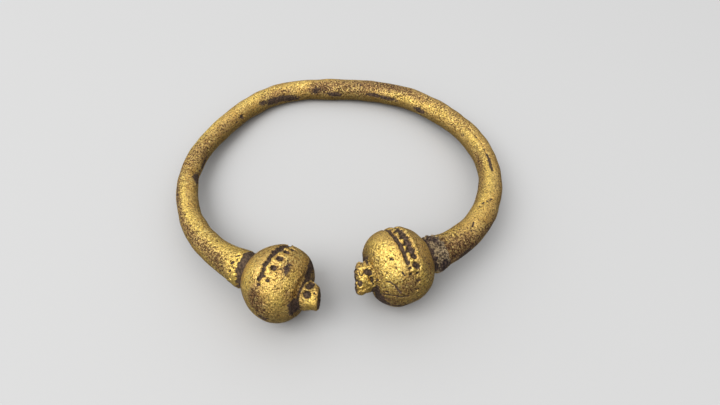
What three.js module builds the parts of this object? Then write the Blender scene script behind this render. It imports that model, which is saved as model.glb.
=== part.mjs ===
// An open bracelet cast in one piece from copper alloy and gilt: a round rod bent by hand into a hoop that
// thickens into two necks, each carrying a ball with a short knob at its tip. A belt of two rows of punched
// pits runs round each ball. It lies on three places: the undersides of both balls and the back of the hoop.
//
// Millimetres and degrees. +Z is up, +X to the right, and +Y points away from the opening, with the origin
// on the surface that it lies on, below the middle of its box.

import * as THREE from 'three';

// The rod: it is followed from the left tip, round the back of the hoop, to the right tip.
const leftTip = { x: -2.55, y: -32.85, heading: 155.7 };  // where the rod starts, and the way it sets off
const straight = 8.4;        // each end runs straight this far from its tip
const neck = 16.4;           // from each tip to the neck behind its ball
const hoop = 169.3;          // the rod between the two necks
const rodLength = hoop + 2 * neck;
const pathStep = 0.25;

// How sharply the smith bent the rod, in degrees of turn per millimetre: at the left neck, at the middle of
// each of eleven equal lengths of the hoop, and at the right neck. The flat stretches and the knee between
// them, at the left of the back, are the lengths with 0.6, 3.5 and 0.3.
const bends = [0.72, 2.47, 1.67, 2.03, 0.61, 3.53, 0.3, 2.07, 1.51, 1.98, 1.91, 2.63, 1.38];

// The rod's radius, thinnest on the left, at these shares of the way round the hoop.
const rodPlaces = [0, 0.06, 0.14, 0.25, 0.4, 0.55, 0.7, 0.85, 0.94, 1];
const rodRadii = [3.36, 2.62, 2.21, 2.25, 2.6, 2.76, 2.72, 2.49, 2.79, 3.27];

// The two ends. Lengths run from the tip; girth is the ball's greatest radius, and roundness is the power of
// its superellipse, 2 being an ellipse. Angles round the rod start at the top and grow towards the outside.
// A knob has one radius at its foot, one at its tip and one across its face, which is cut askew by faceTurn
// degrees so that the two faces look straight at each other, and it sits off the ball's middle by knobShift.
const left = {
  knobRadius: 2.8, knobTip: 2.45, knobFace: 1.7, faceTurn: 24.3, knobShift: 0.25,
  ball: 8.15, girth: 7.25, tipSide: 5.65, neckSide: 7.4, roundness: 2.05,
  belt: 8.85, pits: 24, firstPit: -4, ridge: 0.1,
  groove: 16.3, grooveRadius: 3.36, collar: 17, collarRise: 0.26, collarRun: 1.6,
};
const right = {
  knobRadius: 3.0, knobTip: 2.95, knobFace: 2.2, faceTurn: 20, knobShift: 0.3,
  ball: 7.85, girth: 7.5, tipSide: 5.5, neckSide: 7.4, roundness: 2.3,
  belt: 9.1, pits: 28, firstPit: 1, ridge: 0.3,
  groove: 15.1, grooveRadius: 3.4, collar: 15.9, collarRise: 0.55, collarRun: 2.1,
};

const knobDome = 0.25;       // how far the face of a knob swells
const knobEdge = 0.85;       // length of the rounding at its edge
const knobFoot = 3.2;        // from the tip to the knob's foot, where it meets the ball
const shiftAngle = 75;       // the way in which both knobs are shifted
const dishRim = 4.6;         // radius of the worn dish round the knob's foot
const dishDepth = 0.25;
const rowOffset = 0.8;       // each row of pits runs this far from the middle of the belt
const rowWidth = 0.42;       // spread of a pit across its row
const pitDepth = 0.75;
const nugget = 0.16;         // the bosses between the two rows stand this proud
const beltStep = 0.4;        // between the rings of the mesh that carry the belt
const beltRings = 9;
const wornUnder = 150;       // the belt is rubbed away from this angle on, down to the underside
const restFlat = 0.12;       // depth of the flat spots that it lies on
const backRest = 0.47;       // share of the way round the hoop where its back touches down
const rodSides = 22;
const rodRings = 56;
const rodStart = 18.6;       // from each tip to the first ring of the plain rod

const radians = THREE.MathUtils.degToRad;

// A straight-line reading of a table of values at growing places.
function read(places, values, at) {
  const next = places.findIndex((place) => place >= at);
  if (next === 0) return values[0];
  if (next < 0) return values.at(-1);
  const share = (at - places[next - 1]) / (places[next] - places[next - 1]);
  return THREE.MathUtils.lerp(values[next - 1], values[next], share);
}

// The rod's middle line: the bends are added up step by step into a heading, and the headings into places.
function bendRod() {
  const count = bends.length - 2;
  const inner = bends.slice(1, -1).map((_, i) => neck + (hoop * (i + 0.5)) / count);
  const places = [0, straight, neck, ...inner, neck + hoop, rodLength - straight, rodLength];
  const turns = [0, 0, ...bends, 0, 0];
  const steps = Math.round(rodLength / pathStep);
  const length = rodLength / steps;
  const line = [{ x: leftTip.x, y: leftTip.y, heading: radians(leftTip.heading) }];
  let heading = radians(leftTip.heading);
  for (let i = 0; i < steps; i += 1) {
    const turn = radians(read(places, turns, (i + 0.5) * length)) * length;
    const last = line[i];
    const middle = heading - turn / 2;
    heading -= turn;
    line.push({ x: last.x + Math.cos(middle) * length, y: last.y + Math.sin(middle) * length, heading });
  }
  return line;
}

const rod = bendRod();

// The place and heading of the rod's middle line at a distance from the left tip. It goes straight on past
// both tips.
function onRod(distance) {
  const steps = rod.length - 1;
  const inside = THREE.MathUtils.clamp(distance, 0, rodLength);
  const at = (inside / rodLength) * steps;
  const i = Math.min(Math.floor(at), steps - 1);
  const mix = (name) => THREE.MathUtils.lerp(rod[i][name], rod[i + 1][name], at - i);
  const heading = mix('heading');
  const past = distance - inside;
  return { x: mix('x') + past * Math.cos(heading), y: mix('y') + past * Math.sin(heading), heading };
}

function rodRadius(distance) {
  return read(rodPlaces, rodRadii, (distance - neck) / hoop);
}

// Radius of a ball at a distance from its tip: half of a superellipse towards the tip, half towards the neck.
function ballRadius(end, fromTip) {
  const along = end.ball - fromTip;
  const reach = along > 0 ? end.tipSide : end.neckSide;
  return end.girth * (1 - Math.abs(along / reach) ** end.roundness) ** (1 / end.roundness);
}

// The belt: two rows of pits that deepen and fade with a cosine round the ball, and a boss beside each
// pair, all rubbed away towards the underside.
function beltRelief(end, fromTip, angle) {
  const swell = (place) => Math.exp(-(((fromTip - place) / rowWidth) ** 2));
  const beat = (1 + Math.cos(radians(angle - end.firstPit) * end.pits)) / 2;
  const pit = end.ridge + (pitDepth - end.ridge) * beat;
  const fromTop = Math.abs(THREE.MathUtils.euclideanModulo(angle + 180, 360) - 180);
  const kept = 1 - THREE.MathUtils.smoothstep(fromTop, wornUnder, wornUnder + 15);
  const rows = swell(end.belt - rowOffset) + swell(end.belt + rowOffset);
  return kept * (swell(end.belt) * nugget * (1 - beat) - rows * pit);
}

// The rings of one end, from its tip to the plain rod: the face and side of the knob, the dish round its
// foot, the ball with its belt, the groove and the collar of the neck.
function endRings(end) {
  const rings = [];
  const add = (fromTip, radius) => rings.push({ fromTip, radius });
  const onBall = (fromTip) => add(fromTip, ballRadius(end, fromTip));

  for (const share of [0.55, 1]) add(knobDome * share ** 2, end.knobFace * share);
  const edge = end.knobTip - end.knobFace;
  for (const angle of [35, 65, 90].map(radians)) {
    add(knobDome + knobEdge * (1 - Math.cos(angle)), end.knobFace + edge * Math.sin(angle));
  }
  add(knobFoot - 0.9, THREE.MathUtils.lerp(end.knobTip, end.knobRadius, 0.6));
  add(knobFoot, end.knobRadius);

  const rimAlong = end.tipSide * (1 - (dishRim / end.girth) ** end.roundness) ** (1 / end.roundness);
  const rim = end.ball - rimAlong;
  add((knobFoot + rim) / 2 + dishDepth, (end.knobRadius + dishRim) / 2);
  const beltStart = end.belt - (beltStep * (beltRings - 1)) / 2;
  for (const share of [0, 0.12, 0.3, 0.55, 0.8]) onBall(THREE.MathUtils.lerp(rim, beltStart, share));
  for (let i = 0; i < beltRings; i += 1) onBall(beltStart + i * beltStep);
  const beltEnd = beltStart + (beltRings - 1) * beltStep;
  const grooveRim = end.grooveRadius + 0.25;
  const footAlong = end.neckSide * (1 - (grooveRim / end.girth) ** end.roundness) ** (1 / end.roundness);
  const foot = end.ball + footAlong;
  for (const share of [0.25, 0.48, 0.68, 0.84, 0.94, 1]) onBall(THREE.MathUtils.lerp(beltEnd, foot, share));

  add((foot + end.groove) / 2, end.grooveRadius);
  add(end.groove, end.grooveRadius);
  for (const share of [0, 0.5, 1]) {
    const place = THREE.MathUtils.lerp(end.collar, rodStart - 0.6, share);
    const rise = end.collarRise * Math.exp(-(((place - end.collar) / end.collarRun) ** 2));
    add(place, rodRadius(place) + rise);
  }
  const slope = Math.tan(radians(end.faceTurn));
  return rings.map((ring) => ({
    ...ring, end, sides: 2 * end.pits, first: end.firstPit,
    skew: slope * Math.max(1 - ring.fromTip / knobFoot, 0),
    shift: ring.fromTip <= knobFoot ? end.knobShift : 0,
  }));
}

function rodRingList() {
  const first = rodStart;
  const last = rodLength - rodStart;
  return Array.from({ length: rodRings }, (_, i) => {
    const distance = THREE.MathUtils.lerp(first, last, i / (rodRings - 1));
    return { distance, radius: rodRadius(distance), sides: rodSides, first: 0, skew: 0, shift: 0 };
  });
}

function allRings() {
  const leftRings = endRings(left).map((ring) => ({ ...ring, distance: ring.fromTip, skew: -ring.skew }));
  const rightRings = endRings(right).map((ring) => ({ ...ring, distance: rodLength - ring.fromTip }));
  return [...leftRings, ...rodRingList(), ...rightRings.reverse()];
}

// A point on the skin: from the middle line, out by the radius at an angle that starts at the top and grows
// towards the outside of the hoop. All of it is moved by the shift, if there is one.
function skinPoint(distance, radius, angle, shift = 0) {
  const { x, y, heading } = onRod(distance);
  const side = radius * Math.sin(radians(angle)) + shift * Math.sin(radians(shiftAngle));
  const height = radius * Math.cos(radians(angle)) + shift * Math.cos(radians(shiftAngle));
  return new THREE.Vector3(x - side * Math.sin(heading), y + side * Math.cos(heading), height);
}

// The surface that it lies on touches three round places from below: the two balls and the hoop's back. For
// its upward direction n, the step from one middle to another, measured along n, is the difference of their
// radii. That gives n's x and y, and the skin is then turned so that n points up.
function layDown() {
  const place = (distance, radius) => ({ ...onRod(distance), radius });
  const a = place(left.ball, left.girth);
  const b = place(rodLength - right.ball, right.girth);
  const backAt = neck + backRest * hoop;
  const c = place(backAt, rodRadius(backAt));
  const [ux, uy, ur] = [b.x - a.x, b.y - a.y, b.radius - a.radius];
  const [vx, vy, vr] = [c.x - a.x, c.y - a.y, c.radius - a.radius];
  const area = ux * vy - uy * vx;
  const nx = (ur * vy - uy * vr) / area;
  const ny = (ux * vr - ur * vx) / area;
  const up = new THREE.Vector3(nx, ny, Math.sqrt(1 - nx * nx - ny * ny));
  const turn = new THREE.Quaternion().setFromUnitVectors(up, new THREE.Vector3(0, 0, 1));
  const lift = a.radius - restFlat - up.dot(new THREE.Vector3(a.x, a.y, 0));
  return (point) => {
    point.applyQuaternion(turn);
    point.z = Math.max(point.z + lift, 0);
    return point;
  };
}

// The skin: every ring's points, joined to the next ring's, and closed by a point in the middle of each tip.
// Where a ring has a skew, its outer side reaches further towards the tip and its inner side less far.
function skinGeometry() {
  const lay = layDown();
  const positions = [];
  const triangles = [];
  const addPoint = (point) => {
    positions.push(...lay(point).toArray());
    return positions.length / 3 - 1;
  };
  const rings = allRings().map((ring) => {
    const points = Array.from({ length: ring.sides }, (_, i) => {
      const angle = ring.first + (360 * i) / ring.sides;
      const radius = ring.radius + (ring.end ? beltRelief(ring.end, ring.fromTip, angle) : 0);
      const further = ring.skew * radius * Math.sin(radians(angle));
      return addPoint(skinPoint(ring.distance + further, radius, angle, ring.shift));
    });
    return { points, start: ring.first / 360 };
  });

  const cap = (distance, end, points) => {
    const middle = addPoint(skinPoint(distance, 0, 0, end.knobShift));
    points.forEach((point, i) => triangles.push(middle, point, points[(i + 1) % points.length]));
  };
  cap(0, left, rings[0].points);
  for (let r = 1; r < rings.length; r += 1) {
    const [a, b] = [rings[r - 1], rings[r]];
    const [aSides, bSides] = [a.points.length, b.points.length];
    let i = 0;
    let j = 0;
    while (i < aSides || j < bSides) {
      const aNext = a.start + (i + 1) / aSides;
      const bNext = b.start + (j + 1) / bSides;
      const here = [a.points[i % aSides], b.points[j % bSides]];
      if (j === bSides || (i < aSides && aNext <= bNext)) {
        i += 1;
        triangles.push(...here, a.points[i % aSides]);
      } else {
        j += 1;
        triangles.push(...here, b.points[j % bSides]);
      }
    }
  }
  cap(rodLength, right, rings.at(-1).points.slice().reverse());

  const geometry = new THREE.BufferGeometry();
  geometry.setAttribute('position', new THREE.Float32BufferAttribute(positions, 3));
  geometry.setIndex(triangles);
  geometry.computeVertexNormals();
  return geometry;
}

const giltBronze = new THREE.MeshStandardMaterial({ color: 0xb8923f, roughness: 0.42, metalness: 0.9 });

const bracelet = new THREE.Mesh(skinGeometry(), giltBronze);
bracelet.name = 'bracelet';

const model = new THREE.Group();
model.add(bracelet);

export default model;
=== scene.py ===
# %% [markdown]
# An open bracelet, cast in copper alloy and gilt: a hand-bent round rod, whose two necks each carry a ball
# with a short knob. A belt of punched pits runs round each ball. Most of the gilding is still there, worn
# thin to brown in places, and the hollows are full of dark patina.
#
# The solid of the bracelet comes from the frame. This lesson dresses it with one finer skin that has the same
# driving sizes, carries the relief as real displacement, and stores how dark, brown, bright or crusted each
# place is as attributes that the material reads.

import bpy
import numpy as np
from mathutils import Matrix, Vector


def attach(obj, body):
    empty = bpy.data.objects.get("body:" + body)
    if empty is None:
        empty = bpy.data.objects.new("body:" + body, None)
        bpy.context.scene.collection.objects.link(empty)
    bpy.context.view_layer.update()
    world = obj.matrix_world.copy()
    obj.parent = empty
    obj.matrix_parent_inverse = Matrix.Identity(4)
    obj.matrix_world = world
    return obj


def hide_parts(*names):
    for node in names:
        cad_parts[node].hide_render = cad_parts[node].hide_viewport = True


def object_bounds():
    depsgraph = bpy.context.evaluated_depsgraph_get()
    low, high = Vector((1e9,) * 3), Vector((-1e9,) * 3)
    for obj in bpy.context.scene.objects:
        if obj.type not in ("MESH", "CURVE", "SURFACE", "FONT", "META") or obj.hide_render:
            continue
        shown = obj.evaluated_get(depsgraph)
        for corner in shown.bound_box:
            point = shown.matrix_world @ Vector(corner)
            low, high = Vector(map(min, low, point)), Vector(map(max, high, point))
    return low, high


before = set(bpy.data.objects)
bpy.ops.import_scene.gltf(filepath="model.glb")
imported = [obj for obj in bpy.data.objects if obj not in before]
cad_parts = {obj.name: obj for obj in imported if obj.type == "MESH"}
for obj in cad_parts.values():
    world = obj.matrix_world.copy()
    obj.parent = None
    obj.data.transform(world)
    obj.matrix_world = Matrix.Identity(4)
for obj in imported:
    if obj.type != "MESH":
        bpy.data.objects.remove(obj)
cad_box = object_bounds()
MM = 0.001
in_mm = [[round(v / MM, 1) for v in corner] for corner in cad_box]
print("frame:", sorted(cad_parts), "box in mm:", in_mm)

# %% [markdown]
# Driving sizes, in millimetres and degrees, the same as the solid's. The rod is followed from the left tip,
# round the back of the hoop, to the right tip. Angles round the rod start at the top and grow towards the
# outside of the hoop, so the viewer's side of both ends has angles near +60.

# %% Driving sizes
LEFT_TIP = (-2.55, -32.85)
LEFT_TIP_HEADING = 155.7
STRAIGHT = 8.4
NECK = 16.4
HOOP = 169.3
ROD_LENGTH = HOOP + 2 * NECK
PATH_STEP = 0.25
BENDS = [0.72, 2.47, 1.67, 2.03, 0.61, 3.53, 0.3, 2.07, 1.51, 1.98, 1.91, 2.63, 1.38]
ROD_PLACES = [0, 0.06, 0.14, 0.25, 0.4, 0.55, 0.7, 0.85, 0.94, 1]
ROD_RADII = [3.36, 2.62, 2.21, 2.25, 2.6, 2.76, 2.72, 2.49, 2.79, 3.27]
LEFT = dict(
    side="left", knob_radius=2.8, knob_tip=2.45, knob_face=1.7, face_turn=24.3, knob_shift=0.25,
    ball=8.15, girth=7.25, tip_side=5.65, neck_side=7.4, roundness=2.05, belt=8.85,
    groove=16.3, groove_radius=3.36, collar=17.0, collar_rise=0.26, collar_run=1.6,
)
RIGHT = dict(
    side="right", knob_radius=3.0, knob_tip=2.95, knob_face=2.2, face_turn=20.0, knob_shift=0.3,
    ball=7.85, girth=7.5, tip_side=5.5, neck_side=7.4, roundness=2.3, belt=9.1,
    groove=15.1, groove_radius=3.4, collar=15.9, collar_rise=0.55, collar_run=2.1,
)
KNOB_DOME = 0.25
KNOB_EDGE = 0.85
KNOB_FOOT = 3.2
DISH_RIM = 4.6
DISH_DEPTH = 0.25
SHIFT_ANGLE = 75.0
REST_FLAT = 0.12
BACK_REST = 0.47

# %% [markdown]
# The middle line is drawn the way a smith would feel it: so many degrees of bend in each millimetre. The
# bends are added up into a heading and the headings into places, which keeps the rod's length true whatever
# the curve does.

# %% Middle line of the rod


def bend_rod():
    """Distance, x, y and heading along the rod. The turn in each short step is read from BENDS by straight
    lines between its stations; the heading is the first heading less the sum of the turns; and each step goes
    forward along the mean of its two headings."""
    count = len(BENDS) - 2
    middles = NECK + HOOP * (np.arange(count) + 0.5) / count
    stations = [0, STRAIGHT, NECK, *middles, NECK + HOOP, ROD_LENGTH - STRAIGHT, ROD_LENGTH]
    turns = [0, 0, *BENDS, 0, 0]
    steps = round(ROD_LENGTH / PATH_STEP)
    step = ROD_LENGTH / steps
    turn = np.radians(np.interp((np.arange(steps) + 0.5) * step, stations, turns)) * step
    heading = np.radians(LEFT_TIP_HEADING) - np.concatenate([[0], np.cumsum(turn)])
    halfway = (heading[:-1] + heading[1:]) / 2
    x = LEFT_TIP[0] + step * np.concatenate([[0], np.cumsum(np.cos(halfway))])
    y = LEFT_TIP[1] + step * np.concatenate([[0], np.cumsum(np.sin(halfway))])
    return np.arange(steps + 1) * step, x, y, heading


LINE_AT, LINE_X, LINE_Y, LINE_HEADING = bend_rod()
for end, place_of_tip in ((LEFT, 0), (RIGHT, -1)):
    print(end["side"], "tip at", round(float(LINE_X[place_of_tip]), 2), round(float(LINE_Y[place_of_tip]), 2),
          "heading", round(float(np.degrees(LINE_HEADING[place_of_tip])), 1))
print("the rod turns by", round(float(np.degrees(LINE_HEADING[0] - LINE_HEADING[-1]))), "degrees in all")


def skin_point(distance, radius, angle):
    """Out from the middle line by the radius, at an angle from the top towards the outside: the sideways part
    is radius times the sine, along the heading's left, and the height is radius times the cosine."""
    heading = np.interp(distance, LINE_AT, LINE_HEADING)
    past = distance - np.clip(distance, 0, ROD_LENGTH)
    x = np.interp(distance, LINE_AT, LINE_X) + past * np.cos(heading)
    y = np.interp(distance, LINE_AT, LINE_Y) + past * np.sin(heading)
    side = radius * np.sin(np.radians(angle))
    height = radius * np.cos(np.radians(angle))
    return np.stack([x - side * np.sin(heading), y + side * np.cos(heading), height], -1)


# %% [markdown]
# Radius along the rod. The hoop reads its radii from a short table, rounded off so that no kink shows. Each
# end is a turned outline, drawn as a chain of simple curves and then softened a little, as a worn casting is.

# %% Outlines
TABLE_COUNT = 800
TABLE_SOFTNESS = 25
GROOVE_RUN_OUT = 0.1
GROOVE_LIP = 0.12
NECK_GAP = 0.25
WAIST_BEFORE = 0.9
WAIST_SHARE = 0.6
CURVE_POINTS = 20
BALL_POINTS = 400
NECK_POINTS = 60
FINE_STEP = 0.03
FINE_SOFTNESS = 15


def smooth_step(low, high, value):
    """0 up to low, 1 from high on, and 3t^2 - 2t^3 between them. A low above high turns it round."""
    t = np.clip((value - low) / (high - low), 0, 1)
    return t * t * (3 - 2 * t)


def hump(offset, reach):
    """exp(-(offset / reach)^2): 1 in the middle, fading smoothly on both sides."""
    return np.exp(-((offset / reach) ** 2))


def soften(values, count):
    """A moving mean over count values, with the ends held."""
    padded = np.pad(values, count // 2, mode="edge")
    return np.convolve(padded, np.ones(count) / count, mode="valid")[: len(values)]


ROD_TABLE_AT = np.linspace(0, ROD_LENGTH, TABLE_COUNT)
ROD_TABLE = soften(np.interp((ROD_TABLE_AT - NECK) / HOOP, ROD_PLACES, ROD_RADII), TABLE_SOFTNESS)


def neck_radius(end, from_tip):
    """The groove's radius, and beyond it the rod's own radius with the bump of the collar."""
    distance = from_tip if end is LEFT else ROD_LENGTH - from_tip
    bump = end["collar_rise"] * hump(from_tip - end["collar"], end["collar_run"])
    beyond = np.interp(distance, ROD_TABLE_AT, ROD_TABLE) + bump
    share = smooth_step(end["groove"], end["collar"] + GROOVE_RUN_OUT, from_tip)
    return end["groove_radius"] * (1 - share) + beyond * share


def end_outline(end, end_length, row_step):
    """(distance from the tip, radius) at equal steps of outline length. In turn: the knob's face, a parabola;
    its edge, a quarter of an ellipse; its side; the dish, a fall and a rise; the ball, a superellipse, whose
    radius and distance are powers of a sine and a cosine; and the neck."""
    face = np.linspace(0, 1, CURVE_POINTS)
    edge = np.radians(np.linspace(0, 90, CURVE_POINTS))
    power = 2 / end["roundness"]
    start = np.arcsin((DISH_RIM / end["girth"]) ** (1 / power))
    lip_radius = end["groove_radius"] + GROOVE_LIP
    stop = np.pi - np.arcsin((lip_radius / end["girth"]) ** (1 / power))
    round_ball = np.linspace(start, stop, BALL_POINTS)
    reach = np.where(np.cos(round_ball) > 0, end["tip_side"], end["neck_side"])
    along = np.sign(np.cos(round_ball)) * reach * np.abs(np.cos(round_ball)) ** power
    ball_at = end["ball"] - along
    neck_at = np.linspace(ball_at[-1] + NECK_GAP, end_length, NECK_POINTS)
    at = [
        KNOB_DOME * face**2,
        KNOB_DOME + KNOB_EDGE * (1 - np.cos(edge)),
        [KNOB_FOOT - WAIST_BEFORE, KNOB_FOOT, (KNOB_FOOT + ball_at[0]) / 2 + DISH_DEPTH],
        ball_at,
        neck_at,
    ]
    foot, tip = end["knob_radius"], end["knob_tip"]
    radius = [
        end["knob_face"] * face,
        end["knob_face"] + (tip - end["knob_face"]) * np.sin(edge),
        [tip + WAIST_SHARE * (foot - tip), foot, (foot + DISH_RIM) / 2],
        end["girth"] * np.sin(round_ball) ** power,
        neck_radius(end, neck_at),
    ]
    at, radius = np.concatenate(at), np.concatenate(radius)
    for spacing, softness in ((FINE_STEP, FINE_SOFTNESS), (row_step, 1)):
        length = np.concatenate([[0], np.cumsum(np.hypot(np.diff(at), np.diff(radius)))])
        count = round(length[-1] / spacing) + 1
        even = np.linspace(0, length[-1], count)
        at = soften(np.interp(even, length, at), softness)
        radius = soften(np.interp(even, length, radius), softness)
    at[0], radius[0] = 0, 0
    return at, radius


END_LENGTH = 18.0
END_ROW_STEP = 0.165
HOOP_ROW_STEP = 0.45
END_COLUMNS = 216
HOOP_COLUMNS = 72
outlines = {end["side"]: end_outline(end, END_LENGTH, END_ROW_STEP) for end in (LEFT, RIGHT)}
print("rows in an end:", {side: len(outline[0]) for side, outline in outlines.items()})

# %% [markdown]
# The skin is three grids of the same kind, rows along the rod and columns round it: a fine one for each end
# and a coarser one for the hoop. Relief needs to know where every vertex is, so each grid keeps, beside its
# points, the distance along the rod, the radius and the angle.

# %% Grids of the skin
FADE_BEFORE_FOOT = 0.3
FADE_BEYOND_FOOT = 0.5
FADE_RADII = (2.4, 4.2)


def make_grid(distance, radius, columns, end=None):
    """Every row's distance and radius, carried round the circle in equal angles. The face of a knob is cut
    askew: its outer side reaches further by the radius times the tangent of face_turn, fading to the foot."""
    angle = np.arange(columns) * 360.0 / columns
    shape = (len(distance), columns)
    at = np.broadcast_to(distance[:, None], shape)
    out = np.broadcast_to(radius[:, None], shape)
    turn = np.broadcast_to(angle[None, :], shape)
    reached = at
    if end is not None:
        from_tip = at if end is LEFT else ROD_LENGTH - at
        skew = np.tan(np.radians(end["face_turn"])) * out * np.sin(np.radians(turn))
        skew *= np.clip(1 - from_tip / KNOB_FOOT, 0, 1)
        reached = at - skew if end is LEFT else at + skew
    points = skin_point(reached, out, turn)
    return dict(at=at, radius=out, angle=turn, points=points)


def knob_offset(end):
    """A knob sits off its ball's middle by knob_shift, towards SHIFT_ANGLE."""
    tip = 0.0 if end is LEFT else ROD_LENGTH
    return skin_point(tip, end["knob_shift"], SHIFT_ANGLE) - skin_point(tip, 0.0, SHIFT_ANGLE)


def shift_knob(grid, end):
    """Move the rows of a knob by its offset, in full up to its foot and fading to nothing over the dish."""
    from_tip = grid["at"] if end is LEFT else ROD_LENGTH - grid["at"]
    beyond = smooth_step(KNOB_FOOT - FADE_BEFORE_FOOT, KNOB_FOOT + FADE_BEYOND_FOOT, from_tip)
    fade = 1 - beyond * smooth_step(*FADE_RADII, grid["radius"])
    fade *= grid["radius"] < DISH_RIM
    grid["points"] = grid["points"] + fade[..., None] * knob_offset(end)


left_at, left_radius = outlines["left"]
right_at, right_radius = outlines["right"]
hoop_rows = round((ROD_LENGTH - 2 * END_LENGTH) / HOOP_ROW_STEP)
hoop_at = np.linspace(END_LENGTH, ROD_LENGTH - END_LENGTH, hoop_rows + 1)[1:-1]
hoop_radius = np.where(
    hoop_at < ROD_LENGTH / 2, neck_radius(LEFT, hoop_at), neck_radius(RIGHT, ROD_LENGTH - hoop_at)
)
grids = [
    make_grid(left_at[1:], left_radius[1:], END_COLUMNS, LEFT),
    make_grid(hoop_at, hoop_radius, HOOP_COLUMNS),
    make_grid(ROD_LENGTH - right_at[:0:-1], right_radius[:0:-1], END_COLUMNS, RIGHT),
]
shift_knob(grids[0], LEFT)
shift_knob(grids[2], RIGHT)
print("grid sizes:", [grid["at"].shape for grid in grids])


def outward(grid):
    """Unit normals: the cross product of the difference between rows and the difference between columns,
    turned away from the middle line."""
    points = grid["points"]
    along = np.gradient(points, axis=0)
    around = np.roll(points, -1, axis=1) - np.roll(points, 1, axis=1)
    normal = np.cross(along, around)
    return normal / np.linalg.norm(normal, axis=-1, keepdims=True)


tips = [skin_point(at, 0.0, 0.0) + knob_offset(end) for at, end in ((0.0, LEFT), (ROD_LENGTH, RIGHT))]


def gather(name):
    """One field of every vertex, in the order of the vertices."""
    return np.concatenate([grid[name].reshape(-1) for grid in grids])


points = np.concatenate([grid["points"].reshape(-1, 3) for grid in grids])
normals = np.concatenate([outward(grid).reshape(-1, 3) for grid in grids])
place = gather("at")
angle = (gather("angle") + 180) % 360 - 180
radius = gather("radius")
from_tip = np.minimum(place, ROD_LENGTH - place)
on_left = place < ROD_LENGTH / 2
print("vertices:", len(points))

# %% [markdown]
# Relief. Every dent, pit, slit and crease is drawn on the skin by its distance from the tip and its angle,
# and cut by how near a vertex is to it in space. Steep walls come from a smooth step, soft bowls from a
# squared parabola.

# %% Tools for the relief
WALL_FROM = 0.45
WAVE_STRETCH = (0.7, 1.4)
DARK_FROM = 0.08
DARK_IN_FULL = 0.3


def spot(end, tip_distance, at_angle):
    """The point of the plain skin at a distance from an end's tip, or on the hoop from the left tip, and an
    angle."""
    if end is None:
        out = np.interp(tip_distance, hoop_at, hoop_radius)
        return skin_point(tip_distance, out, at_angle)
    out = np.interp(tip_distance, *outlines[end["side"]])
    distance = tip_distance if end is LEFT else ROD_LENGTH - tip_distance
    return skin_point(distance, out, at_angle)


def near_path(path):
    """The distance of every vertex from a chain of points: for each stretch of the chain, the distance to the
    nearest point of that stretch, and the least of them all."""
    path = np.atleast_2d(path)
    if len(path) == 1:
        return np.linalg.norm(points - path[0], axis=1)
    best = np.full(len(points), np.inf)
    for a, b in zip(path[:-1], path[1:]):
        share = np.clip((points - a) @ (b - a) / ((b - a) @ (b - a)), 0, 1)
        best = np.minimum(best, np.linalg.norm(points - a - share[:, None] * (b - a), axis=1))
    return best


def near_marks(end, marks):
    """The distance of every vertex from a chain of (distance from the tip, angle) places."""
    return near_path(np.array([spot(end, *mark) for mark in marks]))


def steep(reach, wide):
    """1 in the middle of a mark, 0 from its width on, with a steep wall."""
    return 1 - smooth_step(WALL_FROM * wide, wide, reach)


def bowl(reach, wide):
    """(1 - (reach / wide)^2)^2 inside a mark: a round-bottomed hollow."""
    return np.clip(1 - (reach / wide) ** 2, 0, None) ** 2


def waves(size, seed, count=28):
    """A smooth random field with bumps of about that size in millimetres: a sum of cosine waves in random
    directions, with a spread of about 1."""
    rng = np.random.default_rng(seed)
    direction = rng.normal(size=(3, count))
    direction /= np.linalg.norm(direction, axis=0)
    stretch = rng.uniform(*WAVE_STRETCH, count)
    phase = rng.uniform(0, 2 * np.pi, count)
    along = points @ (direction * stretch * 2 * np.pi / (2 * size))
    return np.cos(along + phase).sum(axis=1) * np.sqrt(2 / count)


cut = np.zeros(len(points))
rise = np.zeros(len(points))
dark = np.zeros(len(points))
rubbed_and_highlight = np.zeros(len(points))


def press(amount, colour=1.0):
    """Cut a hollow wherever nothing deeper is cut yet, and darken it where it is deep."""
    np.maximum(cut, amount, out=cut)
    np.maximum(dark, colour * smooth_step(DARK_FROM, DARK_IN_FULL, amount), out=dark)


# %% [markdown]
# The belts. On the left ball the punch marks of the tip's row stand apart, and those of the neck's row run
# into each other. On the right ball the tip's row has been cut into one channel. Where the balls face the
# viewer the marks are placed one by one; round the back they go on at an even pitch with a little scatter,
# and towards the underside they are rubbed away.

# %% Belts of pits
PIT_HALF_LENGTH = 0.16
RUBBED_FROM = 115
RUBBED_AWAY = 150
ROW_SCATTER = 0.08
ANGLE_SCATTER = 1.5
WIDTH_SCATTER = (0.9, 1.1)
CHANNEL_FADE = 8
CHANNEL_WAVER = ((0.04, 9), (0.03, 23))
NUGGET_REACH = 0.45
NUGGET_SIZE = 0.55
NUGGET_RISE = 0.14
NUGGET_SHINE = 0.8
NUGGETS_FROM = (-30, -50)
NUGGETS_TO = (120, 150)
SHOULDER_AT = 11.0
SHOULDER_REACH = 0.8
SHOULDER_RISE = 0.2
SHOULDER_ROUND = (40, 80)
LEFT_TIP_ROW = [(8.15, 12, 0.62), (8.05, -5, 0.68), (7.95, -22, 0.6), (7.75, -35, 0.6)]
LEFT_NECK_ROW = [
    (9.65, 31, 0.5), (9.65, 24, 0.36), (9.7, 15, 0.38), (9.75, 8, 0.55), (9.8, 0, 0.42), (9.7, -9, 0.72),
    (9.6, -19, 0.98), (9.5, -30, 0.9), (9.3, -41, 1.1),
]
LEFT_LONE_PITS = [(8.1, 31.5, 0.36), (9.5, 41, 0.42), (9.0, 27, 0.26)]
RIGHT_NECK_ROW = [
    (9.95, -26, 0.72), (10.0, -15, 0.66), (9.9, -6, 0.76), (10.0, 5, 0.7), (10.0, 16, 0.8), (10.1, 26, 0.56),
    (10.0, 40, 0.66),
]
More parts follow.
